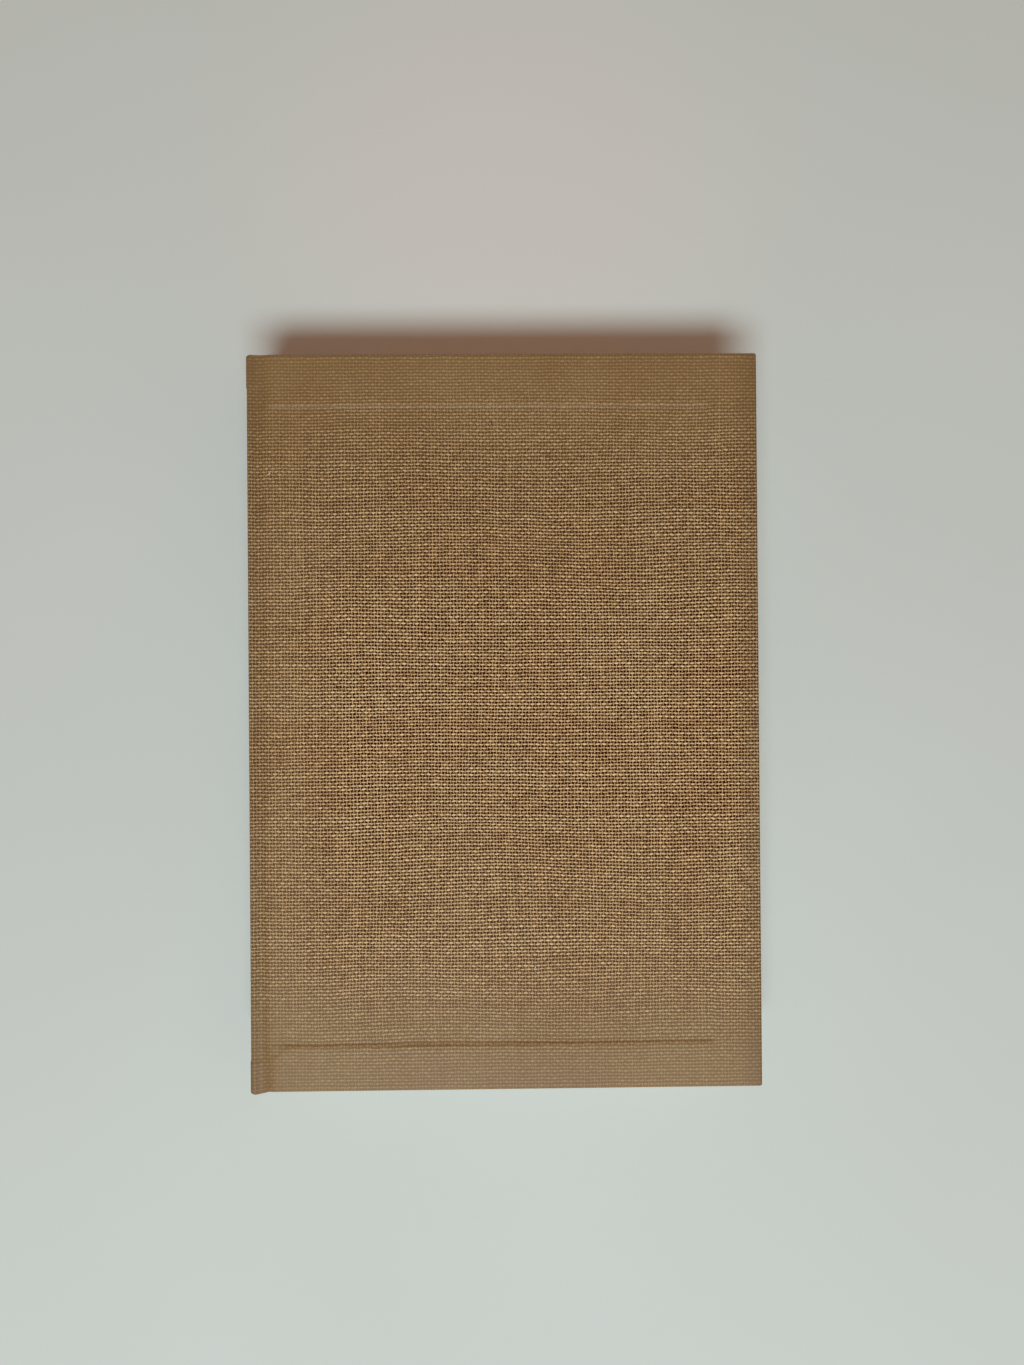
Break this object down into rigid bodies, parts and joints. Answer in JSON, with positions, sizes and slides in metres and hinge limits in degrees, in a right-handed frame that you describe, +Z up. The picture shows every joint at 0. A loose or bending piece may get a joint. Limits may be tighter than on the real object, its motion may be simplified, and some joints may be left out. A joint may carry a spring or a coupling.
{
  "type": "cloth-bound journal",
  "caption": "Closed hardback journal with a flat spine, slubby brown linen-like cloth over stiff boards, narrow joints, turned-in edges and a plain cream page block.",
  "frame": {"origin": "centre of the bounding box's base, on the surface that the closed journal lies on", "axes": "+X from the spine to the fore edge, +Y from the tail to the head, +Z up through the front cover"},
  "size_m": [0.15, 0.2162, 0.03],
  "materials": {
    "page_paper": "matte",
    "endpaper": "matte",
    "cover_cloth": "matte",
    "board": "matte",
    "band_thread": "satin",
    "mull": "matte",
    "lining_paper": "matte"
  },
  "bodies": {
    "book_block": {"page_block": "page_paper", "front_flyleaf": "endpaper", "back_flyleaf": "endpaper", "head_band": "band_thread", "tail_band": "band_thread", "spine_mull": "mull", "spine_lining": "lining_paper", "spine_strip": "board", "spine_cloth": "cover_cloth"},
    "front_cover": {"front_board": "board", "front_cover_cloth": "cover_cloth", "front_pastedown": "endpaper"},
    "back_cover": {"back_board": "board", "back_cover_cloth": "cover_cloth", "back_pastedown": "endpaper"}
  },
  "joints": [
    {"name": "front_cover_hinge", "type": "hinge", "parent": "book_block", "child": "front_cover", "pos_m": [-0.07228, 0, 0.02682], "axis": [0, -1, 0], "range_deg": [0, 180]},
    {"name": "back_cover_hinge", "type": "hinge", "parent": "book_block", "child": "back_cover", "pos_m": [-0.07228, 0, 0.0032], "axis": [0, 1, 0], "range_deg": [0, 180]}
  ]
}
